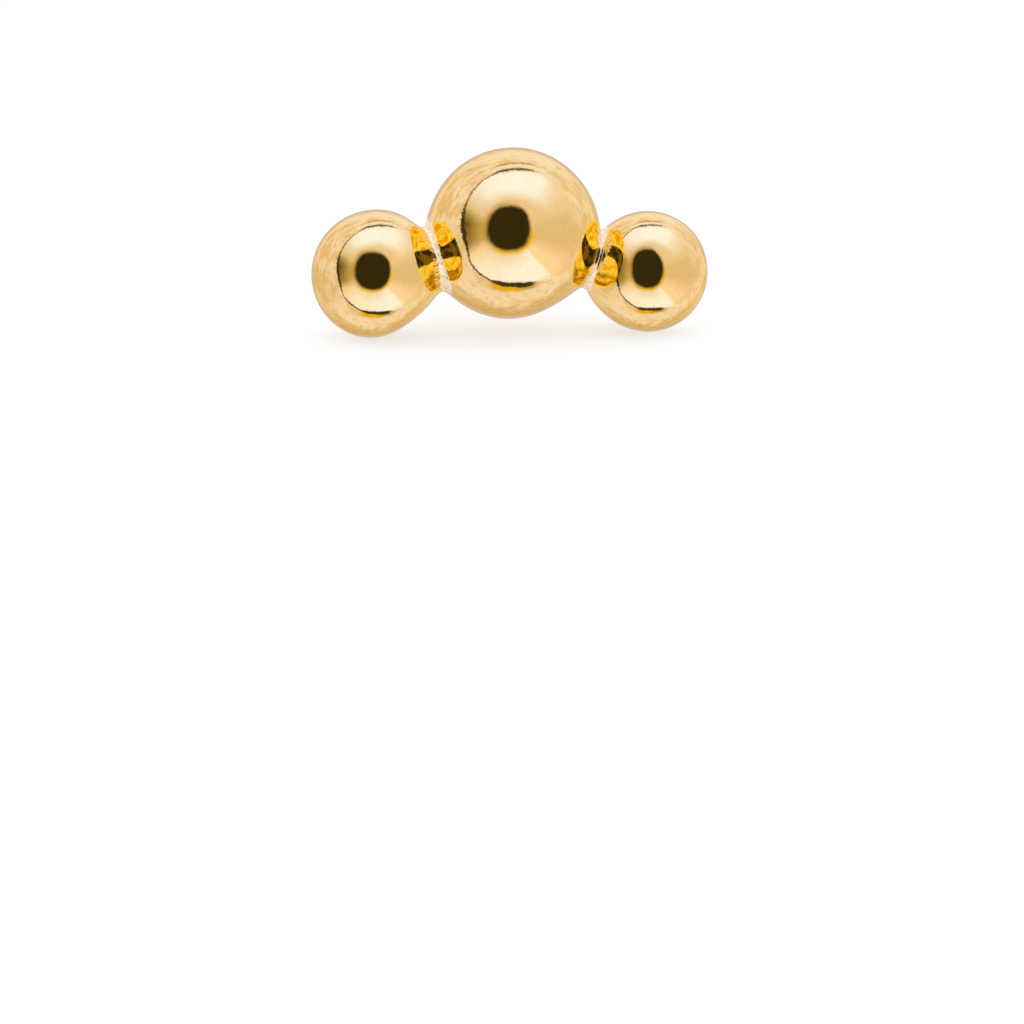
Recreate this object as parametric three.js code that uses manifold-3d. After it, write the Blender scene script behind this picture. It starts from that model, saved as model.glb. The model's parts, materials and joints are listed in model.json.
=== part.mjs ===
// Ball stud earring: three soldered balls in a shallow arch on a straight ear post.
// Millimetres, +Z up. The earring lies as it rests by itself, on its two small balls and
// the tip of its post, with its front towards -Y. The origin is under the middle of its box.
import * as THREE from 'three';
import { mergeVertices } from 'three/addons/utils/BufferGeometryUtils.js';
import Module from 'manifold-3d';

// Balls
const CENTRE_BALL = 4.0;        // diameter of the large ball in the middle
const LEFT_BALL = 3.0;          // diameter of the small ball on the left, seen from the front
const RIGHT_BALL = 2.8;         // diameter of the small ball on the right

// Solder joints: how far each small ball is sunk into the large one, and how far the line
// between their centres hangs below the level
const LEFT_SINK = 0.154;
const RIGHT_SINK = 0.097;
const LEFT_DROOP = 16.4;        // degrees
const RIGHT_DROOP = 15.4;       // degrees

// Solder in the crease of each joint, at its top, its front and back, and its bottom. At each
// point of the solder's skin, the distances to the two balls multiply to this length squared.
const LEFT_SOLDER_TOP = 0.115;
const LEFT_SOLDER_SIDE = 0.12;
const LEFT_SOLDER_BOTTOM = 0.147;
const RIGHT_SOLDER_TOP = 0.085;
const RIGHT_SOLDER_SIDE = 0.11;
const RIGHT_SOLDER_BOTTOM = 0.158;
const SOLDER_FLOW = 0.8;        // height above or below a joint's axis where top or bottom holds

// Ear post, and the socket drilled for it in the back of the large ball
const POST_DIAMETER = 0.8;
const POST_LENGTH = 10.0;
const POST_CHAMFER = 0.12;      // bevel round both ends of the post
const SOCKET_DEPTH = 0.8;       // from the back of the large ball
const SOCKET_CLEARANCE = 0.03;  // all round the post, and under its root

// Fineness of the faceted surface
const SIDES = 48;               // round each ring
const RING_STEP = 5.0;          // degrees of a ball from one ring to the next
const POST_SIDES = 24;

// Flats and swellings that the soldering left on the balls. Each is a row of
// [direction in degrees seen from the front, depth as a share of the radius, width in degrees].
// Directions go anticlockwise from the right, and a negative depth is a swelling of solder.
const FLATS = {
  left: [[310, 0.114, 24.5], [45, 0.044, 14]],
  centre: [[302, 0.055, 20]],
  right: [[200, -0.039, 18]],
};

const GOLD = { color: 0xe8b45c, metalness: 1.0 };
const DEG = Math.PI / 180;
const UP = new THREE.Vector3(0, 0, 1);
const BACK = new THREE.Vector3(0, 1, 0);

// A direction in the plane of the front, in degrees anticlockwise from the right.
function frontDirection(degrees) {
  return new THREE.Vector3(Math.cos(degrees * DEG), 0, Math.sin(degrees * DEG));
}

function ball(diameter, centre, flats) {
  const rows = flats.map(([degrees, depth, width]) => (
    { direction: frontDirection(degrees), depth, width: width * DEG }));
  return { radius: diameter / 2, centre, rows };
}

const centreBall = ball(CENTRE_BALL, new THREE.Vector3(), FLATS.centre);

// A small ball, with the joint that holds it to the large one. The waist of the joint is
// where the two bare balls would cut each other.
function sideBall(diameter, sink, bearing, flats, solder) {
  const axis = frontDirection(bearing);
  const distance = (CENTRE_BALL + diameter) / 2 - sink;
  const side = ball(diameter, axis.clone().multiplyScalar(distance), flats);
  const big = centreBall.radius;
  const waist = (distance ** 2 + big ** 2 - side.radius ** 2) / (2 * distance);
  const over = frontDirection(bearing + (axis.x > 0 ? 90 : -90));
  return { ...side, axis, distance, waist, over, solder };
}

const leftBall = sideBall(LEFT_BALL, LEFT_SINK, 180 + LEFT_DROOP, FLATS.left,
  { top: LEFT_SOLDER_TOP, side: LEFT_SOLDER_SIDE, bottom: LEFT_SOLDER_BOTTOM });
const rightBall = sideBall(RIGHT_BALL, RIGHT_SINK, -RIGHT_DROOP, FLATS.right,
  { top: RIGHT_SOLDER_TOP, side: RIGHT_SOLDER_SIDE, bottom: RIGHT_SOLDER_BOTTOM });

// Distance of a point from a ball's surface, below zero inside it.
function outside(point, { radius, centre, rows }) {
  const offset = point.clone().sub(centre);
  let share = 1;
  for (const { direction, depth, width } of rows) {
    share -= depth * Math.exp(-0.5 * (offset.angleTo(direction) / width) ** 2);
  }
  return offset.length() - radius * share;
}

// Two surfaces joined with solder: it is zero where their distances multiply to solder squared.
function joined(a, b, solder) {
  return (a + b - Math.hypot(a - b, 2 * solder)) / 2;
}

function solderAt(point, { over, solder }) {
  const height = point.dot(over);
  const share = THREE.MathUtils.smoothstep(Math.abs(height), 0, SOLDER_FLOW);
  return THREE.MathUtils.lerp(solder.side, height > 0 ? solder.top : solder.bottom, share);
}

function outsideCluster(point) {
  const middle = outside(point, centreBall);
  const joints = [leftBall, rightBall].map((side) => (
    joined(outside(point, side), middle, solderAt(point, side))));
  return Math.min(...joints);
}

// Places of the rings along one ball, evenly spaced by angle, from one polar angle to another.
// They are distances from the ball's centre towards the second one.
function ringPlaces(radius, from, to) {
  const count = Math.ceil((to - from) / (RING_STEP * DEG));
  return Array.from({ length: count + 1 }, (_, i) => (
    -radius * Math.cos(from + (to - from) * (i / count))));
}

// The rings cross a spine that runs from the outer end of the left ball, through both joints,
// to the outer end of the right ball. Each has a point on the spine and its direction there.
function spineStations() {
  const neckAngle = (radius, reach) => Math.acos(Math.min(reach / radius, 1));
  const stations = [];
  const along = (side, place, sign) => stations.push({
    point: side.axis.clone().multiplyScalar(side.distance + place),
    direction: side.axis.clone().multiplyScalar(sign),
  });
  const smallRings = (side) => {
    const neck = neckAngle(side.radius, side.distance - side.waist);
    return ringPlaces(side.radius, 0, Math.PI - neck).map((place) => -place);
  };
  smallRings(leftBall).forEach((place) => along(leftBall, place, -1));
  const bend = new THREE.QuadraticBezierCurve3(
    leftBall.axis.clone().multiplyScalar(leftBall.waist),
    centreBall.centre,
    rightBall.axis.clone().multiplyScalar(rightBall.waist));
  const middle = ringPlaces(centreBall.radius, neckAngle(centreBall.radius, leftBall.waist),
    Math.PI - neckAngle(centreBall.radius, rightBall.waist));
  for (const place of middle.slice(1, -1)) {
    const share = (place + leftBall.waist) / (leftBall.waist + rightBall.waist);
    stations.push({ point: bend.getPoint(share), direction: bend.getTangent(share) });
  }
  smallRings(rightBall).reverse().forEach((place) => along(rightBall, place, 1));
  return stations;
}

// Distance from a point on the spine to the surface, along one ray, by halving.
function reach(point, ray) {
  let near = 0;
  let far = CENTRE_BALL;
  for (let i = 0; i < 40; i += 1) {
    const middle = (near + far) / 2;
    if (outsideCluster(point.clone().addScaledVector(ray, middle)) < 0) near = middle;
    else far = middle;
  }
  return near;
}

// The three balls and their solder as one skin: the net of a sphere, each of whose rings is
// drawn onto the surface from its station on the spine.
function clusterSkin() {
  const stations = spineStations();
  const last = stations.length - 1;
  const net = new THREE.SphereGeometry(1, SIDES, last);
  const places = net.getAttribute('position');
  for (let i = 0; i < places.count; i += 1) {
    const ring = Math.floor(i / (SIDES + 1));
    const turn = ((i % (SIDES + 1)) % SIDES) * (2 * Math.PI / SIDES);
    const { point, direction } = stations[ring];
    const over = BACK.clone().cross(direction).negate();
    const ray = over.multiplyScalar(-Math.cos(turn)).addScaledVector(BACK, -Math.sin(turn));
    const length = ring === 0 || ring === last ? 0 : reach(point, ray);
    const place = point.clone().addScaledVector(ray, length);
    places.setXYZ(i, place.x, place.y, place.z);
  }
  return net;
}

// Booleans
const wasm = await Module();
wasm.setup();

function solid(geometry) {
  const bare = geometry.clone();
  bare.deleteAttribute('normal');
  bare.deleteAttribute('uv');
  const merged = mergeVertices(bare, 1e-5);
  return new wasm.Manifold(new wasm.Mesh({
    numProp: 3,
    vertProperties: Float32Array.from(merged.getAttribute('position').array),
    triVerts: Uint32Array.from(merged.getIndex().array),
  }));
}

function geometryOf(manifold) {
  const mesh = manifold.getMesh();
  const geometry = new THREE.BufferGeometry();
  geometry.setAttribute('position', new THREE.BufferAttribute(mesh.vertProperties, 3));
  geometry.setIndex(new THREE.BufferAttribute(mesh.triVerts, 1));
  geometry.computeVertexNormals();
  return geometry;
}

const socketFloor = CENTRE_BALL / 2 - SOCKET_DEPTH;
const postRoot = socketFloor + SOCKET_CLEARANCE;

// The socket runs from its floor to well clear of the ball's back.
function clusterGeometry() {
  const radius = POST_DIAMETER / 2 + SOCKET_CLEARANCE;
  const length = SOCKET_DEPTH + CENTRE_BALL / 2;
  const drill = new THREE.CylinderGeometry(radius, radius, length, POST_SIDES);
  drill.translate(0, socketFloor + length / 2, 0);
  return geometryOf(solid(clusterSkin()).subtract(solid(drill)));
}

function postGeometry() {
  const radius = POST_DIAMETER / 2;
  const tip = postRoot + POST_LENGTH;
  const profile = [
    new THREE.Vector2(0, postRoot),
    new THREE.Vector2(radius - POST_CHAMFER, postRoot),
    new THREE.Vector2(radius, postRoot + POST_CHAMFER),
    new THREE.Vector2(radius, tip - POST_CHAMFER),
    new THREE.Vector2(radius - POST_CHAMFER, tip),
    new THREE.Vector2(0, tip),
  ];
  return new THREE.LatheGeometry(profile, POST_SIDES);
}

const cluster = new THREE.Mesh(clusterGeometry(),
  new THREE.MeshStandardMaterial({ ...GOLD, roughness: 0.12 }));
cluster.name = 'ball_cluster';

const post = new THREE.Mesh(postGeometry(),
  new THREE.MeshStandardMaterial({ ...GOLD, roughness: 0.2 }));
post.name = 'ear_post';

// The lowest corner of a mesh in a turned frame, among the corners that a test lets through.
function lowest(mesh, turn, test = () => true) {
  const places = mesh.geometry.getAttribute('position');
  let found = null;
  for (let i = 0; i < places.count; i += 1) {
    const corner = new THREE.Vector3().fromBufferAttribute(places, i);
    if (test(corner)) {
      corner.applyQuaternion(turn);
      if (!found || corner.z < found.z) found = corner;
    }
  }
  return found;
}

// Turns the earring until both small balls and the post's tip lie on one level.
function restingTurn() {
  const turn = new THREE.Quaternion();
  for (let i = 0; i < 12; i += 1) {
    const left = lowest(cluster, turn, (corner) => corner.x < leftBall.axis.x * leftBall.waist);
    const right = lowest(cluster, turn, (corner) => corner.x > rightBall.axis.x * rightBall.waist);
    const tip = lowest(post, turn);
    const level = right.sub(left).cross(tip.sub(left)).normalize();
    turn.premultiply(new THREE.Quaternion().setFromUnitVectors(level, UP));
  }
  return turn;
}

const earring = new THREE.Group();
earring.add(cluster, post);
earring.quaternion.copy(restingTurn());
earring.updateMatrixWorld(true);
const box = new THREE.Box3().setFromObject(earring, true);
earring.position.set(-(box.min.x + box.max.x) / 2, -(box.min.y + box.max.y) / 2, -box.min.z);

export default earring;
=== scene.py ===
"""Looks of a ball stud earring: three polished gold balls soldered in a row, on a straight ear post.

The earring is drawn in its own frame, in millimetres: the large ball's centre is the origin, +X is
to the right seen from the front, +Z is up and the post runs back along +Y. The record's mount on
the post's tip then says where that frame lies, so every piece lands on the CAD solids.
"""
import json
import math

import bpy
import numpy as np
from mathutils import Matrix, Vector


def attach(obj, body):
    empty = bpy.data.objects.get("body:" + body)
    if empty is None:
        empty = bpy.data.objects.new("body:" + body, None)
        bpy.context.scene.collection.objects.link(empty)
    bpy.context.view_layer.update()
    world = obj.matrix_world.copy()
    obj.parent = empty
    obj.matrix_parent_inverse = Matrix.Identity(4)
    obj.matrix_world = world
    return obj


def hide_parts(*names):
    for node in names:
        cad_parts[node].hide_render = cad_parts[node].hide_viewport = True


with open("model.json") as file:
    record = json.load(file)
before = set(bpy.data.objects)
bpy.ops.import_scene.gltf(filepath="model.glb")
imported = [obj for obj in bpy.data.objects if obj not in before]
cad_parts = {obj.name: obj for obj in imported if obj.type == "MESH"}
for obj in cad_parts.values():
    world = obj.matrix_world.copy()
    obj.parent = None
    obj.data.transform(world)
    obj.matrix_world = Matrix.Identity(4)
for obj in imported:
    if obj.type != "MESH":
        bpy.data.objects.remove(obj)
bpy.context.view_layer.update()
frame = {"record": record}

MM = 0.001
TINY = 1e-9                         # keeps a division by a length from failing

# Balls, solder joints and post, as in the CAD. Droops are in degrees.
CENTRE_RADIUS = 2.0
LEFT_RADIUS = 1.5
RIGHT_RADIUS = 1.4
LEFT_SINK = 0.154
RIGHT_SINK = 0.097
LEFT_DROOP = 16.4
RIGHT_DROOP = 15.4
SOLDER_FLOW = 0.8
POST_RADIUS = 0.4
POST_LENGTH = 10.0
POST_ROOT = 1.23
POST_BEVEL = 0.12

# Hollows of the solder at the top, at the front and back, and at the bottom of each joint
LEFT_HOLLOWS = (0.115, 0.12, 0.147)
RIGHT_HOLLOWS = (0.085, 0.11, 0.158)

# Flats left by the soldering, or a swelling where the depth is below zero: direction seen from the
# front, depth as a share of the radius, width in degrees
LEFT_FLATS = ((310, 0.114, 24.5), (45, 0.044, 14))
CENTRE_FLATS = ((302, 0.055, 20),)
RIGHT_FLATS = ((200, -0.039, 18),)

# The camera stands a little to the left of the post's line
CAMERA_YAW = math.radians(8.5)

# Places where the fronts of the small balls are slightly flatter: angle to the right of the camera,
# angle up, depth as a share of the radius, width, height
LEFT_FRONT = ((-2.8, 3.5, 0.0138, 16, 16),)
RIGHT_FRONT = ((-50, -5, 0.055, 25, 30), (-2.8, 6, 0.050, 40, 28), (2, -11, 0.014, 17, 17))

# Fineness of the skin
SIDES = 240
RING_GAP = 0.05
WAIST_GAP = 0.016
WAIST_REACH = 0.16
HALVINGS = 34

# Fineness of the post and of the ring of solder at its root
ROUND_SIDES = 64
SHAFT_RINGS = 40
BEVEL_RINGS = 7
COLLAR_RINGS = 12
END_RING = 0.14                     # radius of the ring inside each flat end of the post

# Ring of solder at the post's root: how far it reaches over the ball and the post, how deep it sinks
COLLAR_REACH = 0.24
COLLAR_DEPTH = 0.1

# Waviness that hand polishing leaves, and the grain of the solder: height and length of a wave
POLISH_WAVES = ((0.0022, 1.6), (0.0009, 0.7))
SOLDER_WAVES = ((0.0065, 0.24), (0.0040, 0.10))
POLISH_SEED = 3
SOLDER_SEED = 8
WAVE_COUNT = 14
WAVE_SPREAD = (0.75, 1.3)           # least and greatest share of its length that a wave has
WAVE_PHASES = (0, 6.28)

# Half width of the rough solder at the top, at the front and back, and at the bottom of each joint
LEFT_SOLDER = (0.082, 0.046, 0.100)
RIGHT_SOLDER = (0.118, 0.045, 0.088)

# How rough the solder is, and how fully its colour covers the gold in a joint and at the post
LEFT_GRAIN = 1.0
RIGHT_GRAIN = 0.4
SOLDER_BODY = 1.25
COLLAR_BODY = 0.55

# Slot in the front of the right joint, where the solder left a gap. The mesh has no recess there:
# the material paints the slot's shade dark.
SLOT_HALF_LENGTH = 0.21
SLOT_HALF_WIDTH = 0.05


def front_direction(degrees):
    """A direction in the plane of the front, anticlockwise from the right."""
    angle = math.radians(degrees)
    return np.array([math.cos(angle), 0.0, math.sin(angle)])


def bell(*offsets):
    """1 where every offset is zero, falling smoothly to 0 on all sides."""
    return np.exp(-0.5 * sum(offset ** 2 for offset in offsets))


class Ball:
    """A ball with its flats; a small ball also knows the joint that holds it to the large one."""

    towards_camera = np.array([-math.sin(CAMERA_YAW), -math.cos(CAMERA_YAW), 0.0])
    right_of_camera = np.array([math.cos(CAMERA_YAW), -math.sin(CAMERA_YAW), 0.0])

    def __init__(self, radius, flats, front=(), bearing=None, sink=0.0, hollows=None):
        self.radius = radius
        self.front = front
        self.flats = [(front_direction(degrees), depth, math.radians(width))
                      for degrees, depth, width in flats]
        self.centre = np.zeros(3)
        if bearing is not None:
            self.axis = front_direction(bearing)
            self.distance = CENTRE_RADIUS + radius - sink
            self.centre = self.axis * self.distance
            reach = self.distance ** 2 + CENTRE_RADIUS ** 2 - radius ** 2
            self.waist = reach / (2 * self.distance)
            self.over = front_direction(bearing + (90 if self.axis[0] > 0 else -90))
            self.hollows = hollows

    def outside(self, points):
        """Distance from the ball's surface, below zero inside it."""
        offset = points - self.centre
        length = np.linalg.norm(offset, axis=1)
        way = offset / np.maximum(length, TINY)[:, None]
        share = np.ones(len(points))
        for direction, depth, width in self.flats:
            share -= depth * bell(np.arccos(np.clip(way @ direction, -1, 1)) / width)
        across = np.degrees(np.arctan2(way @ self.right_of_camera, way @ self.towards_camera))
        up = np.degrees(np.arcsin(np.clip(way[:, 2], -1, 1)))
        for middle_across, middle_up, depth, width, height in self.front:
            share -= depth * bell((across - middle_across) / width, (up - middle_up) / height)
        return length - self.radius * share

    def by_height(self, points, values):
        """Blends values for the top, side and bottom of the joint by height above its axis."""
        top, side, bottom = values
        height = np.clip(points @ self.over / SOLDER_FLOW, -1, 1)
        blend = height ** 2 * (3 - 2 * np.abs(height))
        return side + np.where(height > 0, top - side, bottom - side) * blend

    def beyond_waist(self, points):
        """Distance outwards from the waist of the joint."""
        return points @ self.axis - self.waist


centre_ball = Ball(CENTRE_RADIUS, CENTRE_FLATS)
left_ball = Ball(LEFT_RADIUS, LEFT_FLATS, LEFT_FRONT, 180 + LEFT_DROOP, LEFT_SINK, LEFT_HOLLOWS)
right_ball = Ball(RIGHT_RADIUS, RIGHT_FLATS, RIGHT_FRONT, -RIGHT_DROOP, RIGHT_SINK, RIGHT_HOLLOWS)
small_balls = (left_ball, right_ball)


def joined(first, second, solder):
    """Two surfaces joined with solder: zero where their distances multiply to solder squared."""
    return (first + second - np.hypot(first - second, 2 * solder)) / 2


def outside_cluster(points):
    """Distance from the skin of the three soldered balls, below zero inside it."""
    middle = centre_ball.outside(points)
    return np.minimum(*[joined(side.outside(points), middle, side.by_height(points, side.hollows))
                        for side in small_balls])


def ring_places(radius, start, end):
    """Places of rings along a ball from one polar angle to another, closer together where the
    ball meets a neighbour, at any end that isn't a pole."""
    fine = WAIST_REACH / radius
    fine_count = round(WAIST_REACH / WAIST_GAP)
    low = start + (fine if start > 0 else 0)
    high = end - fine
    angles = np.linspace(low, high, math.ceil((high - low) * radius / RING_GAP) + 1)
    if start > 0:
        angles = np.concatenate([np.linspace(start, low, fine_count, endpoint=False), angles])
    angles = np.concatenate([angles, np.linspace(high, end, fine_count + 1)[1:]])
    return -radius * np.cos(angles)


def small_ball_places(side):
    """Places of rings along a small ball's axis, from its outer end to the waist of its joint."""
    neck = math.acos((side.distance - side.waist) / side.radius)
    return side.distance - ring_places(side.radius, 0, math.pi - neck)


def stations():
    """Points and directions of the spine, from the left ball's outer end to the right ball's."""
    points = [left_ball.axis * place for place in small_ball_places(left_ball)]
    directions = [-left_ball.axis] * len(points)
    start, end = (math.acos(side.waist / CENTRE_RADIUS) for side in small_balls)
    first, last = (side.axis * side.waist for side in small_balls)
    span = left_ball.waist + right_ball.waist
    for place in ring_places(CENTRE_RADIUS, start, math.pi - end)[1:-1]:
        share = (place + left_ball.waist) / span
        points.append((1 - share) ** 2 * first + share ** 2 * last)
        along = -(1 - share) * first + share * last
        directions.append(along / np.linalg.norm(along))
    right = small_ball_places(right_ball)[::-1]
    points += [right_ball.axis * place for place in right]
    directions += [right_ball.axis] * len(right)
    return np.array(points), np.array(directions)


def cluster_rings():
    """The skin's rings: rays from the spine, halved down to the surface."""
    points, directions = stations()
    backwards = np.array([0.0, 1.0, 0.0])
    over = np.cross(directions, backwards)
    turn = np.linspace(0, 2 * math.pi, SIDES, endpoint=False)
    rays = (np.cos(turn)[None, :, None] * over[:, None, :]
            + np.sin(turn)[None, :, None] * backwards[None, None, :])
    base = np.repeat(points, SIDES, axis=0)
    rays = rays.reshape(-1, 3)
    near, far = np.zeros(len(base)), np.full(len(base), 2 * CENTRE_RADIUS)
    for _ in range(HALVINGS):
        middle = (near + far) / 2
        inside = outside_cluster(base + rays * middle[:, None]) < 0
        near, far = np.where(inside, middle, near), np.where(inside, far, middle)
    rings = (base + rays * near[:, None]).reshape(len(points), SIDES, 3)
    rings[0], rings[-1] = points[0], points[-1]
    return rings


def closed_net(rings, name):
    """A mesh from rings of points, closed by a point at each end. It keeps the rings' order."""
    count, sides = rings.shape[:2]
    points = np.concatenate([rings[0, :1], rings[1:-1].reshape(-1, 3), rings[-1, :1]])
    here = 1 + np.arange(count - 2)[:, None] * sides + np.arange(sides)[None, :]
    ahead = np.roll(here, -1, axis=1)
    quads = np.stack([here[:-1], here[1:], ahead[1:], ahead[:-1]], -1).reshape(-1, 4)
    tip = len(points) - 1
    start = np.stack([np.zeros(sides, int), here[0], ahead[0]], -1)
    end = np.stack([np.full(sides, tip), ahead[-1], here[-1]], -1)
    mesh = bpy.data.meshes.new(name)
    mesh.from_pydata((points * MM).tolist(), [], start.tolist() + quads.tolist() + end.tolist())
    mesh.shade_smooth()
    mesh.validate()
    piece = bpy.data.objects.new(name, mesh)
    bpy.context.scene.collection.objects.link(piece)
    return piece, points


def ripple(points, waves, seed):
    """A sum of smooth waves in random directions, with the given heights and lengths."""
    random = np.random.default_rng(seed)
    height = np.zeros(len(points))
    for amount, length in waves:
        for _ in range(WAVE_COUNT):
            way = random.normal(size=3)
            way *= 2 * math.pi / (length * random.uniform(*WAVE_SPREAD) * np.linalg.norm(way))
            wave = np.sin(points @ way + random.uniform(*WAVE_PHASES))
            height += amount / math.sqrt(WAVE_COUNT / 2) * wave
    return height


def solder_share(points, side, widths):
    """1 on the waist of a joint, falling to 0 a little way up the balls."""
    return bell(side.beyond_waist(points) / side.by_height(points, widths))


def slot_share(points):
    """1 in the slot in the front of the right joint, falling to 0 past its rounded edges: where
    shade is painted.
    """
    along = right_ball.beyond_waist(points) / SLOT_HALF_WIDTH
    height = points @ right_ball.over / SLOT_HALF_LENGTH
    return np.exp(-(np.abs(along) ** 3 + np.abs(height) ** 4)) * (points[:, 1] < 0)


def add_layer(mesh, name, values):
    """Stores one number at each point of a mesh, for a material to read."""
    layer = mesh.attributes.new(name, "FLOAT", "POINT")
    layer.data.foreach_set("value", np.asarray(values, np.float32))


def make_cluster():
    """The three balls and their solder joints as one skin, and its points in the earring's frame."""
    piece, points = closed_net(cluster_rings(), "ball_row")
    mesh = piece.data
    normals = np.zeros(len(points) * 3, np.float32)
    mesh.vertices.foreach_get("normal", normals)
    left = solder_share(points, left_ball, LEFT_SOLDER)
    right = solder_share(points, right_ball, RIGHT_SOLDER)
    slot = slot_share(points)
    rough = LEFT_GRAIN * left + RIGHT_GRAIN * right * (1 - slot)
    height = ripple(points, POLISH_WAVES, POLISH_SEED)
    height = height + rough * ripple(points, SOLDER_WAVES, SOLDER_SEED)
    moved = points + normals.reshape(-1, 3) * height[:, None]
    mesh.vertices.foreach_set("co", (moved * MM).astype(np.float32).ravel())
    add_layer(mesh, "solder", np.minimum(1, SOLDER_BODY * np.maximum(left, right)))
    # The slot's layer places the painted shade of the slot's recess, which the mesh doesn't have
    add_layer(mesh, "slot", slot)
    return piece, moved


def lathe(profile, name):
    """A closed solid of revolution about +Y from (place, radius) rows. It starts and ends on the
    axis."""
    turn = np.linspace(0, 2 * math.pi, ROUND_SIDES, endpoint=False)
    rings = np.array([[(radius * math.cos(angle), place, -radius * math.sin(angle))
                       for angle in turn] for place, radius in profile])
    return closed_net(rings, name)[0]


def make_post():
    """The straight wire with a small round bevel at both ends."""
    tip = POST_ROOT + POST_LENGTH
    bevel = [(POST_BEVEL * (1 - math.cos(angle)), POST_BEVEL * (1 - math.sin(angle)))
             for angle in np.linspace(0, math.pi / 2, BEVEL_RINGS)]
    root_end = [(POST_ROOT + along, POST_RADIUS - inward) for along, inward in bevel]
    tip_end = [(tip - along, POST_RADIUS - inward) for along, inward in reversed(bevel)]
    shaft = [(place, POST_RADIUS)
             for place in np.linspace(root_end[-1][0], tip_end[0][0], SHAFT_RINGS)[1:-1]]
    profile = [(POST_ROOT, 0.0), (POST_ROOT, END_RING), *root_end, *shaft, *tip_end,
               (tip, END_RING), (tip, 0.0)]
    return lathe(profile, "post_wire")


def make_collar():
    """The small ring of solder between the post and the back of the large ball."""
    def ball_surface(radius):
        return math.sqrt(CENTRE_RADIUS ** 2 - radius ** 2)

    outer = POST_RADIUS + COLLAR_REACH
    low, high = ball_surface(outer), ball_surface(POST_RADIUS) + COLLAR_REACH
    hollow = [(low + (high - low) * (1 - math.cos(angle)), outer - COLLAR_REACH * math.sin(angle))
              for angle in np.linspace(0, math.pi / 2, COLLAR_RINGS)]
    profile = [(low - COLLAR_DEPTH, 0.0), (low - COLLAR_DEPTH, outer), *hollow, (high, 0.0)]
    collar = lathe(profile, "post_solder")
    add_layer(collar.data, "solder", np.full(len(collar.data.vertices), COLLAR_BODY))
    return collar


# Place of the earring's own frame in the row's frame
LEVELLINGS = 6
mount = next(m for m in frame["record"]["mounts"] if m["name"] == "post_tip")


def ear_matrix(points):
    """Turns the earring about its post until both small balls touch the floor."""
    back = Vector(mount["axis"]).normalized()
    flat_right = (Vector((1, 0, 0)) - back * back.x).normalized()
    flat_up = flat_right.cross(back)
    left_waist, right_waist = (side.axis[0] * side.waist for side in small_balls)
    roll = 0.0
    for _ in range(LEVELLINGS):
        up = flat_up * math.cos(roll) - flat_right * math.sin(roll)
        right = flat_right * math.cos(roll) + flat_up * math.sin(roll)
        level = points @ np.array([right.z, back.z, up.z])
        left_low = level[points[:, 0] < left_waist].min()
        right_low = level[points[:, 0] > right_waist].min()
        roll += (left_low - right_low) / (right_ball.centre[0] - left_ball.centre[0])
    turn = Matrix((right, back, up)).transposed().to_4x4()
    tip = Vector(mount["pos_m"]) - back * (POST_ROOT + POST_LENGTH) * MM
    return Matrix.Translation(tip) @ turn


cluster, cluster_points = make_cluster()
post = make_post()
collar = make_collar()
EAR = ear_matrix(cluster_points)
for piece in (cluster, post, collar):
    piece.data.transform(EAR)


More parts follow.
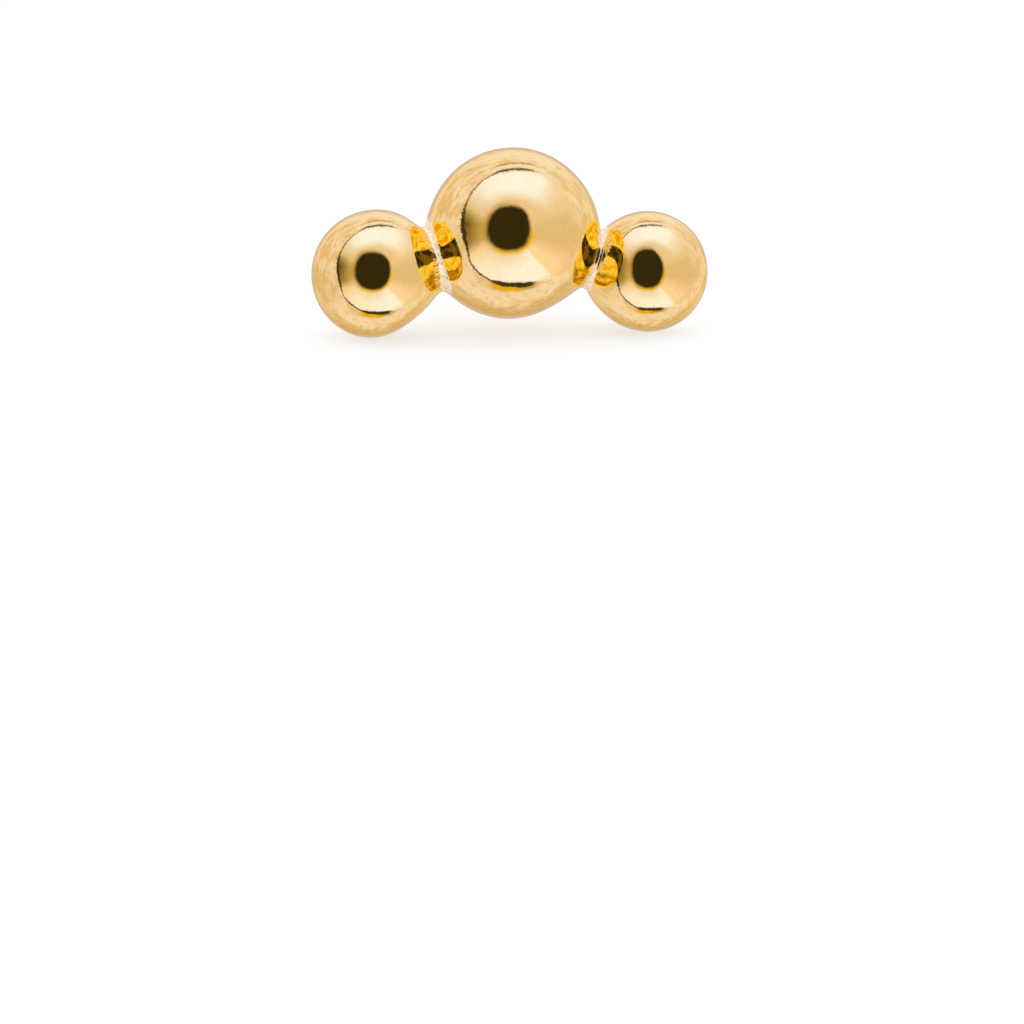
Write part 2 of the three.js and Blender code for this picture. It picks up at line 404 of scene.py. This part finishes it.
class Nodes:
    """Short calls for a node tree. All but link return an output socket."""

    def __init__(self, tree):
        self.tree = tree

    def link(self, value, socket):
        """Links an output to an input, or sets the input to a plain value."""
        if isinstance(value, bpy.types.NodeSocket):
            self.tree.links.new(value, socket)
        else:
            socket.default_value = value

    def add(self, kind, *inputs, out=0, **settings):
        node = self.tree.nodes.new(kind)
        for name, value in settings.items():
            setattr(node, name, value)
        for i, value in enumerate(inputs):
            self.link(value, node.inputs[i])
        return node.outputs[out]

    def math(self, operation, *inputs):
        return self.add("ShaderNodeMath", *inputs, operation=operation)

    def plus(self, first, second):
        return self.math("ADD", first, second)

    def minus(self, first, second):
        return self.math("SUBTRACT", first, second)

    def times(self, first, second):
        return self.math("MULTIPLY", first, second)

    def divide(self, first, second):
        return self.math("DIVIDE", first, second)

    def line(self, value, slope, start):
        """The value times a slope, plus a start."""
        return self.math("MULTIPLY_ADD", value, slope, start)

    def dot(self, vector, direction):
        return self.add("ShaderNodeVectorMath", vector, tuple(direction), out=1,
                        operation="DOT_PRODUCT")

    def step(self, value, low, high):
        """Smooth step from 0 at low to 1 at high; low may be the larger one."""
        node = self.tree.nodes.new("ShaderNodeMapRange")
        node.interpolation_type = "SMOOTHSTEP"
        node.inputs["From Min"].default_value = min(low, high)
        node.inputs["From Max"].default_value = max(low, high)
        if low > high:
            node.inputs["To Min"].default_value = 1
            node.inputs["To Max"].default_value = 0
        self.link(value, node.inputs["Value"])
        return node.outputs[0]

    def mix(self, share, first, second):
        """Colour mix."""
        node = self.tree.nodes.new("ShaderNodeMix")
        node.data_type = "RGBA"
        self.link(share, node.inputs[0])
        for colour, socket in ((first, node.inputs[6]), (second, node.inputs[7])):
            self.link((*colour, 1.0) if isinstance(colour, tuple) else colour, socket)
        return node.outputs[2]

    def noise(self, place, scale, detail, roughness):
        node = self.tree.nodes.new("ShaderNodeTexNoise")
        self.link(place, node.inputs["Vector"])
        self.link(scale, node.inputs["Scale"])
        self.link(detail, node.inputs["Detail"])
        self.link(roughness, node.inputs["Roughness"])
        return node.outputs[0]

    def speckle(self, place, scale, detail, roughness, low, high):
        """Spots of noise, which set in between two levels."""
        return self.step(self.noise(place, scale, detail, roughness), low, high)

    def ramp(self, value, stops):
        """Ramp from (place, grey or colour) rows."""
        node = self.tree.nodes.new("ShaderNodeValToRGB")
        elements = node.color_ramp.elements
        for i, (place, level) in enumerate(stops):
            stop = elements[i] if i < 2 else elements.new(place)
            stop.position = place
            stop.color = (*level, 1) if isinstance(level, tuple) else (level, level, level, 1)
        self.link(value, node.inputs[0])
        return node.outputs[0]

    def millimetres(self):
        """Place in the row's frame, in millimetres."""
        node = self.tree.nodes.new("ShaderNodeVectorMath")
        node.operation = "SCALE"
        self.link(self.add("ShaderNodeTexCoord", out=3), node.inputs[0])
        node.inputs["Scale"].default_value = 1 / MM
        return node.outputs[0]

    def layer(self, name):
        """The numbers that add_layer stored in the mesh under this name."""
        return self.add("ShaderNodeAttribute", out=2, attribute_name=name)


# Colours of the metals
GOLD = (1.0, 0.745, 0.32)
GOLD_DEEP = (0.98, 0.71, 0.29)
GOLD_STAIN = (0.92, 0.645, 0.245)
GOLD_EDGE = (0.98, 0.89, 0.67)      # tint of the reflection at a glancing angle
SOLDER = (0.98, 0.85, 0.72)
SOLDER_YELLOW = (0.95, 0.70, 0.36)
SOLDER_PIT = (0.12, 0.07, 0.02)
# Painted shade of the slot's recess, which the mesh doesn't have
SLOT_PAINTED_SHADE = (0.05, 0.04, 0.02)

# Noise in the metals: scale per mm, detail, roughness
MOTTLE = (11.0, 5.0, 0.7)
GRAIN = (14.0, 3.0, 0.65)
HAZE = (9.0, 4.0, 0.6)
RELIEF = (5.0, 2.0, 0.5)
WIRE_LINES = (1.0, 4.0, 0.6)
WIRE_FINENESS = (24.0, 0.7, 24.0)   # of the drawing lines across, along and over the post, per mm
# The same, and the levels between which patches and pits set in
GOLD_PATCHES = (1.3, 3.0, 0.5, 0.35, 0.65)
WIRE_PATCHES = (3.0, 3.0, 0.6, 0.35, 0.65)
PITS = (17.0, 3.0, 0.6, 0.60, 0.66)

# Levels between which stains, yellow solder, the seam, the slot and the wire's lines set in
STAIN_LEVELS = (0.45, 0.75)
YELLOW_LEVELS = (0.45, 0.62)
SEAM_LEVELS = (0.53, 0.65)
SLOT_LEVELS = (0.45, 0.6)
LINE_LEVELS = (0.5, 0.75)

# Strength of the stains, how much the grain frays the solder and the slot, how dull both are
STAIN_STRENGTH = 0.6
SEAM_FRAY = 1.1
SLOT_FRAY = 0.4
DULLNESS = 0.8

# Roughness: what the noise adds and what it starts from, and what solder and slot add
GOLD_ROUGHNESS = (0.07, 0.015)
WIRE_ROUGHNESS = (0.16, 0.06)
SEAM_ROUGHNESS = 0.25
SLOT_ROUGHNESS = 0.40

# Fine relief: strength, height in mm
GOLD_RELIEF = (0.6, 0.0022)
WIRE_RELIEF = (0.5, 0.0030)


def new_material(name):
    material = bpy.data.materials.new(name)
    material.use_nodes = True
    return material, Nodes(material.node_tree), material.node_tree.nodes["Principled BSDF"]


def dress(nodes, shader, colour, rough, relief, strength, height):
    """Gives a metal its colour, roughness, edge tint and fine relief."""
    nodes.link(colour, shader.inputs["Base Color"])
    nodes.link(rough, shader.inputs["Roughness"])
    shader.inputs["Specular Tint"].default_value = (*GOLD_EDGE, 1.0)
    bump = nodes.tree.nodes.new("ShaderNodeBump")
    bump.inputs["Strength"].default_value = strength
    bump.inputs["Distance"].default_value = height * MM
    nodes.link(relief, bump.inputs["Height"])
    nodes.link(bump.outputs[0], shader.inputs["Normal"])


def gold_material():
    """Polished gold with faint stains, pale pitted solder, and painted shade in the slot, where the
    mesh's layers put them.
    """
    material, nodes, shader = new_material("polished_gold")
    place = nodes.millimetres()
    mottle = nodes.noise(place, *MOTTLE)
    grain = nodes.minus(nodes.noise(place, *GRAIN), 0.5)
    seam = nodes.plus(nodes.layer("solder"), nodes.times(grain, SEAM_FRAY))
    seam = nodes.step(seam, *SEAM_LEVELS)
    slot = nodes.plus(nodes.layer("slot"), nodes.times(grain, SLOT_FRAY))
    slot = nodes.step(slot, *SLOT_LEVELS)
    stain = nodes.times(nodes.step(mottle, *STAIN_LEVELS), STAIN_STRENGTH)
    colour = nodes.mix(nodes.speckle(place, *GOLD_PATCHES), GOLD, GOLD_DEEP)
    colour = nodes.mix(stain, colour, GOLD_STAIN)
    solder = nodes.mix(nodes.step(mottle, *YELLOW_LEVELS), SOLDER, SOLDER_YELLOW)
    solder = nodes.mix(nodes.speckle(place, *PITS), solder, SOLDER_PIT)
    colour = nodes.mix(seam, colour, solder)
    # Painted shade fills the slot, dark and less metallic
    colour = nodes.mix(slot, colour, SLOT_PAINTED_SHADE)
    dull = nodes.math("MAXIMUM", seam, slot)
    nodes.link(nodes.line(dull, -DULLNESS, 1.0), shader.inputs["Metallic"])
    rough = nodes.line(nodes.noise(place, *HAZE), *GOLD_ROUGHNESS)
    rough = nodes.line(seam, SEAM_ROUGHNESS, rough)
    rough = nodes.line(slot, SLOT_ROUGHNESS, rough)
    dress(nodes, shader, colour, rough, nodes.noise(place, *RELIEF), *GOLD_RELIEF)
    return material


def wire_material():
    """Drawn wire: the same gold with fine lines along the post."""
    material, nodes, shader = new_material("post_gold")
    place = nodes.millimetres()
    turn = EAR.to_3x3()
    parts = [nodes.times(nodes.dot(place, turn.col[i]), fineness)
             for i, fineness in enumerate(WIRE_FINENESS)]
    lines = nodes.noise(nodes.add("ShaderNodeCombineXYZ", *parts), *WIRE_LINES)
    colour = nodes.mix(nodes.speckle(place, *WIRE_PATCHES), GOLD, GOLD_DEEP)
    colour = nodes.mix(nodes.step(lines, *LINE_LEVELS), colour, GOLD_STAIN)
    shader.inputs["Metallic"].default_value = 1.0
    dress(nodes, shader, colour, nodes.line(lines, *WIRE_ROUGHNESS), lines, *WIRE_RELIEF)
    return material


gold = gold_material()
wire = wire_material()
for piece, look, slot, node in ((cluster, gold, "polished_gold", "ball_cluster"),
                                (post, wire, "post_gold", "ear_post"),
                                (collar, gold, "polished_gold", None)):
    piece.data.materials.append(look)
    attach(piece, "root")
    if node:
        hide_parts(node)


# Floor, with its sizes in metres, and the plain light that falls on it
FLOOR_HALF = 2.0
FLOOR_DROP = 0.00002                # keeps the floor clear of the balls that rest on it
FLOOR_LIGHT = (1.35, 1.35, 1.35)
FLOOR_COLOUR = (0.36, 0.36, 0.36)
FLOOR_ROUGHNESS = 0.9
FLOOR_GLOW = 0.62                   # the lit sheet under the earring, which leaves a faint shadow


def make_floor():
    corners = [(x * FLOOR_HALF, y * FLOOR_HALF, 0) for x, y in ((-1, -1), (1, -1), (1, 1), (-1, 1))]
    mesh = bpy.data.meshes.new("floor")
    mesh.from_pydata(corners, [], [(0, 1, 2, 3)])
    floor = bpy.data.objects.new("floor", mesh)
    bpy.context.scene.collection.objects.link(floor)
    material, _, shader = new_material("pale_floor")
    shader.inputs["Base Color"].default_value = (*FLOOR_COLOUR, 1.0)
    shader.inputs["Roughness"].default_value = FLOOR_ROUGHNESS
    shader.inputs["Specular IOR Level"].default_value = 0.0
    shader.inputs["Emission Color"].default_value = (1.0, 1.0, 1.0, 1.0)
    shader.inputs["Emission Strength"].default_value = FLOOR_GLOW
    mesh.materials.append(material)
    floor.visible_glossy = False
    floor.location.z = -FLOOR_DROP
    return floor


floor = make_floor()

# Camera. Its aim is lowered so that the large ball's centre lies at its place in the photograph.
IMAGE = 1024
BALL_PIXEL = (513.1, 233.6)
PIXELS_PER_MM = 43.0
LENS = 200.0
SENSOR = 36.0
CLIP_START = 0.005
CLIP_END = 20


def make_camera():
    data = bpy.data.cameras.new("camera")
    camera = bpy.data.objects.new("camera", data)
    bpy.context.scene.collection.objects.link(camera)
    data.lens = LENS
    data.sensor_width = SENSOR
    data.clip_start = CLIP_START
    data.clip_end = CLIP_END
    focal = LENS / SENSOR * IMAGE
    down = math.atan((IMAGE / 2 - BALL_PIXEL[1]) / focal)
    side = math.atan((BALL_PIXEL[0] - IMAGE / 2) / focal)
    distance = focal / PIXELS_PER_MM * MM / math.cos(down)
    look = Matrix.Rotation(math.pi / 2, 4, "X")
    aim = Matrix.Rotation(side, 4, "Z") @ Matrix.Rotation(-down, 4, "X")
    stand = EAR @ Matrix.Rotation(-CAMERA_YAW, 4, "Z")
    camera.matrix_world = stand @ Matrix.Translation((0, -distance, 0)) @ aim @ look
    bpy.context.scene.camera = camera


make_camera()

# Studio. Its places are polar, in degrees: the angle out from the line to the camera, and the
# bearing round that line, anticlockwise from the right. Bearings run from WRAP, where nothing
# changes.
WRAP = -35.0
HALF_TURN = 180.0
FULL_TURN = 360.0
SPECK = 1e-8                        # keeps the middle of an opening from dividing by zero
TWO_BALLS = 1.5                     # glossy depth above which a ray has met two balls

# Seam of the light tent round the camera: bearing, angle out
SEAM = ((-35, 92), (0, 97), (72, 101), (102, 95), (112, 90), (125, 85), (142, 80), (160, 74.5),
        (180, 68), (195, 66), (212, 70), (245, 71.5), (270, 71.5), (285, 75), (297, 77), (325, 90))
# How softly the tent ends there: bearing, half width
SEAM_BLUR = ((-35, 26), (50, 26), (68, 1.4), (298, 1.4), (314, 16), (325, 26))
# Dark piping on the seam: bearing, strength; and bearing, half width
PIPING = ((-35, 0), (67, 0), (74, 0.9), (103, 0.9), (112, 0.7), (150, 0.85), (160, 1), (196, 1),
          (210, 0.85), (246, 0.9), (252, 1), (290, 1), (297, 0), (325, 0))
PIPING_WIDTH = ((-35, 1), (70, 1.3), (78, 3.0), (102, 2.7), (110, 1.2), (143, 1.6), (160, 3.1),
                (180, 3.0), (194, 2.0), (206, 1.3), (246, 1.6), (256, 3.8), (288, 4.3), (296, 1.3))
PIPING_EDGE = (1.25, 0.75)          # shares of the half width between which it sets in

# Light of the tent's cloth: bearing, colour
TENT = ((-35, (1.01, 0.90, 0.90)), (-10, (0.78, 0.67, 0.56)), (16, (0.78, 0.68, 0.59)),
        (40, (0.93, 0.92, 1.08)), (60, (1.01, 1.21, 2.05)), (92, (1.01, 1.27, 2.25)),
        (122, (1.00, 1.16, 1.94)), (150, (0.77, 0.69, 0.56)), (163, (0.56, 0.45, 0.20)),
        (190, (0.62, 0.50, 0.26)), (207, (0.97, 0.92, 0.95)), (228, (1.00, 1.11, 1.62)),
        (270, (1.01, 1.19, 1.90)), (309, (1.01, 1.19, 1.90)), (316, (1.01, 0.90, 0.90)))
NEAR_HOLE_LIGHT = (0.83, 0.67, 0.50)
GAP_LIGHT = (0.22, 0.165, 0.03)
PIPING_LIGHT = (0.055, 0.044, 0.018)
GHOST_LIGHT = (0.24, 0.14, 0.036)
AMBER_LIGHT = (0.84, 0.55, 0.02)
OLIVE_LIGHT = (0.52, 0.40, 0.03)
HOLE_LIGHT = (0.0349, 0.0294, 0.0103)
FRINGE_LIGHT = (0.90, 0.64, 0.03)
DARK_FRINGE_LIGHT = (0.42, 0.29, 0.08)
GLINT_LIGHT = (0.93, 0.95, 1.45)

# Light of the table beyond the tent
TABLE_LIGHT = (0.84, 0.73, 0.64)
PALE_LIGHT = (0.97, 0.94, 1.14)
SHEET_LIGHT = (0.99, 1.03, 1.48)
SHADE_LIGHT = (0.64, 0.51, 0.36)
STRIP_LIGHT = (0.95, 0.93, 1.18)
CREASE_LIGHT = (0.66, 0.52, 0.36)
DUST_LIGHT = (0.45, 0.33, 0.14)
FAR_LIGHT = (0.67, 0.66, 0.90)

# Layers of light: colour, strength, bearings as (start, end, softness), and a reach if there is
# one. A reach of two numbers is a smooth step, and one of three is (start, end, softness).
# On the table, by angle out: the sheet above, the shade below, the strip at the tent's foot
TABLE_LAYERS = ((SHEET_LIGHT, 1.0, (40, 122, 18), (120, 148, 9)),
                (SHADE_LIGHT, 0.68, (222, 318, 18), (106, 136)),
                (SHADE_LIGHT, 0.25, (170, 222, 14)),
                (STRIP_LIGHT, 0.9, (228, 312, 10), (86, 106, 8)))
DUST_LAYERS = ((DUST_LIGHT, 0.55, (228, 318, 16), (108, 150, 8)),)
# On the table, by the height of a pleat
PLEAT_LAYERS = ((CREASE_LIGHT, 0.24, (95, 175, 16), (0.4, 1.0)),)
# On the tent, by angle out: warmer cloth near the hole, the table shining through, the gap
TENT_LAYERS = ((NEAR_HOLE_LIGHT, 0.85, (30, 150, 20), (64, 42)),
               (NEAR_HOLE_LIGHT, 0.45, (195, 300, 25), (52, 28)),
               (TABLE_LIGHT, 0.5, (72, 140, 12), (84, 100)),
               (GAP_LIGHT, 0.75, (157, 196, 9), (38, 62)),
               (PIPING_LIGHT, 0.7, (160, 178, 9), (52, 70)))
# Along the seam, by distance inward from it: under the tent, over the tent, over the piping
AMBER_LAYERS = ((AMBER_LIGHT, 1.0, (248, 280, 4), (-12.5, 0, 3)),
                (OLIVE_LIGHT, 0.85, (276, 295, 4), (-9, 0, 2)))
GLINT_LAYERS = ((GLINT_LIGHT, 0.7, (256, 286, 5), (4.2, 6.2, 1.0)),)
RIM_LAYERS = ((SHEET_LIGHT, 0.8, (50, 108, 8), (-9, -2, 2)),)
GHOST_LAYERS = ((GHOST_LIGHT, 0.62, (72, 106, 4), (-14, -10.5, 1.2)),)
# Round the hole, by distance from its middle
DARK_FRINGE_LAYERS = ((DARK_FRINGE_LIGHT, 0.7, (95, 212, 20), (1.30, 1.0)),)

# Noise on the table: scale, detail, roughness, and the levels between which it sets in
CLOUDS = (2.3, 3.0, 0.6)
CLOUD_LEVELS = (0.43, 0.57)
CREASES = (7.0, 5.0, 0.7, 0.50, 0.70)
CREASE_STRENGTH = 0.70
DUST = (13.0, 4.0, 0.7, 0.50, 0.64)
PLEAT_LENGTH = 11.0                 # degrees from one pleat to the next
PLEAT_BEND = 9.0                    # how much the clouds bend the pleats
FAR_STRENGTH = 0.9
FAR_REACH = (143.0, 161.0)

# Fraying of the seam and its piping, which is weaker along the tent's foot
FOOT = (247, 296, 5)
FOOT_CALM = 0.7
WOBBLE = (14.0, 3.0, 0.7)
WOBBLE_REACH = 4.6
FRAY = (22.0, 2.0, 0.6)
FRAY_WIDTH = (2.8, -1.35)           # change of the piping's width, as (slope, start)
GHOST_LEVELS = (0.25, 0.5)

# Camera hole in the tent: angle out and bearing of its centre, half width, half height
HOLE_OUT = 9.0
HOLE_BEARING = 128.0
HOLE_HALF_WIDTH = 29.5
HOLE_HALF_HEIGHT = 30.8
HOLE_SQUARENESS = 2.25
HOLE_EDGE = (1.10, 0.89)
# Bright fringe of the hole, on the side of this bearing
FRINGE_BEARING = 295
FRINGE_STRENGTH = 0.9
FRINGE_LEAN = (-0.05, 0.22)
FRINGE_REACH = (1.23, 1.06)

# What the balls mirror into each other, from below to above: share of the height, colour
MIRRORED = ((0.00, (0.62, 0.44, 0.02)), (0.16, (0.94, 0.80, 0.05)), (0.32, (1.04, 1.10, 0.38)),
            (0.75, (1.06, 1.20, 0.62)), (0.92, (0.98, 0.88, 0.08)), (1.00, (0.88, 0.60, 0.02)))
MIRRORED_CLOUDS = (2.6, 1.5, 0.5)
MIRRORED_SHIFT = (1.7, -0.85)       # of the height by the clouds, as (slope, start)
MIRRORED_STAIN = (0.20, 0.14, 0.01)
MIRRORED_STAINS = (6.0, 4.0, 0.7, 0.50, 0.58)
MIRRORED_STAIN_STRENGTH = 0.85
MIRRORED_STAIN_REACH = (-0.55, -0.88)
MIRRORED_HOLE = (0.19, 0.17, 0.04)
MIRRORED_HOLE_DARK = (0.030, 0.026, 0.01)
MIRRORED_HOLE_SPOTS = (2.2, 1.0, 0.5, 0.38, 0.62)
MIRRORED_HALF_WIDTH = 75.0
MIRRORED_HALF_HEIGHT = 22.0
MIRRORED_SQUARENESS = 5.0
MIRRORED_SLANT = 16.0
MIRRORED_EDGE = (1.12, 0.92)


def bearing_stops(rows):
    return [((bearing - WRAP) / FULL_TURN, value) for bearing, value in rows]


class Studio(Nodes):
    """The world's node tree, with the angle out, the bearing and the ray's parts at hand."""

    def __init__(self, tree):
        super().__init__(tree)
        turned = (EAR @ Matrix.Rotation(-CAMERA_YAW, 4, "Z")).to_3x3()
        self.towards, self.right, self.over = (
            turned @ Vector(way) for way in ((0, -1, 0), (1, 0, 0), (0, 0, 1)))
        self.ray = self.add("ShaderNodeTexCoord", out=0)
        self.height = self.dot(self.ray, self.over)
        self.angle = self.between(self.towards)
        turn = self.math("ARCTAN2", self.height, self.dot(self.ray, self.right))
        self.turn = self.math("FRACT", self.line(turn, 0.5 / math.pi, 1 - WRAP / FULL_TURN))

    def sideways(self, bearing):
        aim = math.radians(bearing)
        return self.right * math.cos(aim) + self.over * math.sin(aim)

    def between(self, direction):
        """Angle in degrees between the ray and a direction."""
        return self.times(self.math("ARCCOSINE", self.dot(self.ray, direction)),
                          HALF_TURN / math.pi)

    def by_bearing(self, rows):
        """A share or a colour that changes with the bearing."""
        return self.ramp(self.turn, bearing_stops(rows))

    def span(self, rows):
        """A length in degrees that changes with the bearing."""
        shares = self.by_bearing([(bearing, value / HALF_TURN) for bearing, value in rows])
        return self.times(shares, HALF_TURN)

    def sector(self, start, end, soft):
        """1 between two bearings, with soft edges."""
        return self.by_bearing([(start - soft, 0), (start + soft, 1),
                                (end - soft, 1), (end + soft, 0)])

    def band(self, value, start, end, soft):
        """1 between two values, with soft edges."""
        return self.times(self.step(value, start - soft, start + soft),
                          self.step(value, end + soft, end - soft))

    def lay(self, base, light, amount, *shares):
        """Lays a light over a base where all the shares are high."""
        share = shares[0]
        for other in shares[1:]:
            share = self.times(share, other)
        return self.mix(self.times(share, amount), base, light)

    def layers(self, light, rows, value, *shares):
        """Lays rows of light over one another, each within its bearings and its reach in a value."""
        for colour, strength, bearings, *reaches in rows:
            within = [self.step(value, *reach) if len(reach) == 2 else self.band(value, *reach)
                      for reach in reaches]
            light = self.lay(light, colour, strength, self.sector(*bearings), *within, *shares)
        return light

    def opening(self, out, bearing, half_width, half_height, squareness, slant=0.0):
        """Distance from the middle of a rounded opening, 1 on its edge."""
        shift = math.radians(out)
        middle = self.towards * math.cos(shift) + self.sideways(bearing) * math.sin(shift)
        lean = math.radians(slant)
        across = self.right * math.cos(lean) + self.over * math.sin(lean)
        across = (across - middle * across.dot(middle)).normalized()
        upward = middle.cross(across)
        level, rise = self.dot(self.ray, across), self.dot(self.ray, upward)
        squares = self.plus(self.times(level, level), self.times(rise, rise))
        length = self.math("SQRT", self.plus(squares, SPECK))
        reach = self.divide(self.between(middle), length)
        powers = []
        for part, half in ((level, half_width), (rise, half_height)):
            share = self.divide(self.times(part, reach), half)
            powers.append(self.math("POWER", self.math("ABSOLUTE", share), squareness))
        return self.math("POWER", self.plus(*powers), 1 / squareness)


def table_light(studio):
    """The table beyond the tent: a sheet above, shade below, a pale strip along the tent's foot."""
    cloud = studio.noise(studio.ray, *CLOUDS)
    pleat = studio.line(studio.angle, 2 * math.pi / PLEAT_LENGTH, studio.times(cloud, PLEAT_BEND))
    pleat = studio.math("SINE", pleat)
    light = studio.mix(studio.step(cloud, *CLOUD_LEVELS), TABLE_LIGHT, PALE_LIGHT)
    light = studio.layers(light, TABLE_LAYERS, studio.angle)
    light = studio.lay(light, CREASE_LIGHT, CREASE_STRENGTH, studio.speckle(studio.ray, *CREASES))
    light = studio.layers(light, PLEAT_LAYERS, pleat)
    light = studio.layers(light, DUST_LAYERS, studio.angle, studio.speckle(studio.ray, *DUST))
    return studio.lay(light, FAR_LIGHT, FAR_STRENGTH, studio.step(studio.angle, *FAR_REACH))


def room_light(studio):
    """Table and tent, with the frayed piping on the seam between them."""
    frayed = studio.line(studio.sector(*FOOT), -FOOT_CALM, 1.0)
    wobble = studio.minus(studio.noise(studio.ray, *WOBBLE), 0.5)
    wobble = studio.times(studio.times(wobble, WOBBLE_REACH), frayed)
    inward = studio.plus(studio.minus(studio.span(SEAM), studio.angle), wobble)
    light = studio.layers(table_light(studio), AMBER_LAYERS, inward)
    tent = studio.layers(studio.by_bearing(TENT), TENT_LAYERS, studio.angle)
    inside = studio.divide(inward, studio.times(studio.span(SEAM_BLUR), 2.0))
    light = studio.mix(studio.step(inside, -0.5, 0.5), light, tent)
    light = studio.layers(light, GLINT_LAYERS, inward)
    fray = studio.noise(studio.ray, *FRAY)
    worn = studio.times(studio.line(fray, *FRAY_WIDTH), frayed)
    width = studio.times(studio.span(PIPING_WIDTH), studio.plus(worn, 1.0))
    off = studio.divide(studio.math("ABSOLUTE", inward), width)
    light = studio.lay(light, PIPING_LIGHT, 1.0, studio.step(off, *PIPING_EDGE),
                       studio.by_bearing(PIPING))
    light = studio.layers(light, RIM_LAYERS, inward)
    return studio.layers(light, GHOST_LAYERS, inward, studio.step(fray, *GHOST_LEVELS))


def mirrored_light(studio):
    """Light that comes by way of two balls: the cloth, the seam's stains, and the hole as a slot."""
    cloud = studio.line(studio.noise(studio.ray, *MIRRORED_CLOUDS), *MIRRORED_SHIFT)
    share = studio.plus(studio.line(studio.height, 0.5, 0.5), cloud)
    light = studio.ramp(share, MIRRORED)
    light = studio.lay(light, MIRRORED_STAIN, MIRRORED_STAIN_STRENGTH,
                       studio.speckle(studio.ray, *MIRRORED_STAINS),
                       studio.step(studio.height, *MIRRORED_STAIN_REACH))
    slot = studio.opening(HOLE_OUT, HOLE_BEARING, MIRRORED_HALF_WIDTH, MIRRORED_HALF_HEIGHT,
                          MIRRORED_SQUARENESS, MIRRORED_SLANT)
    spots = studio.speckle(studio.ray, *MIRRORED_HOLE_SPOTS)
    shade = studio.mix(spots, MIRRORED_HOLE, MIRRORED_HOLE_DARK)
    return studio.mix(studio.step(slot, *MIRRORED_EDGE), light, shade)


def make_studio():
    """The world: the studio for glossy rays, and a plain light for all others."""
    world = bpy.data.worlds.new("studio")
    bpy.context.scene.world = world
    world.use_nodes = True
    world.node_tree.nodes.clear()
    studio = Studio(world.node_tree)
    hole = studio.opening(HOLE_OUT, HOLE_BEARING, HOLE_HALF_WIDTH, HOLE_HALF_HEIGHT,
                          HOLE_SQUARENESS)
    lean = studio.dot(studio.ray, studio.sideways(FRINGE_BEARING))
    light = studio.lay(room_light(studio), FRINGE_LIGHT, FRINGE_STRENGTH,
                       studio.step(lean, *FRINGE_LEAN), studio.step(hole, *FRINGE_REACH))
    light = studio.layers(light, DARK_FRINGE_LAYERS, hole)
    light = studio.mix(studio.step(hole, *HOLE_EDGE), light, HOLE_LIGHT)
    path = studio.tree.nodes.new("ShaderNodeLightPath")
    twice = studio.math("GREATER_THAN", path.outputs["Glossy Depth"], TWO_BALLS)
    once_seen = studio.add("ShaderNodeBackground", light)
    twice_seen = studio.add("ShaderNodeBackground", mirrored_light(studio))
    mirrored = studio.add("ShaderNodeMixShader", twice, once_seen, twice_seen)
    plain = studio.add("ShaderNodeBackground", (*FLOOR_LIGHT, 1.0))
    seen = studio.add("ShaderNodeMixShader", path.outputs["Is Glossy Ray"], plain, mirrored)
    out = studio.tree.nodes.new("ShaderNodeOutputWorld")
    studio.link(seen, out.inputs[0])
    world.cycles.sampling_method = "NONE"


make_studio()

bpy.context.scene.view_settings.view_transform = "Standard"
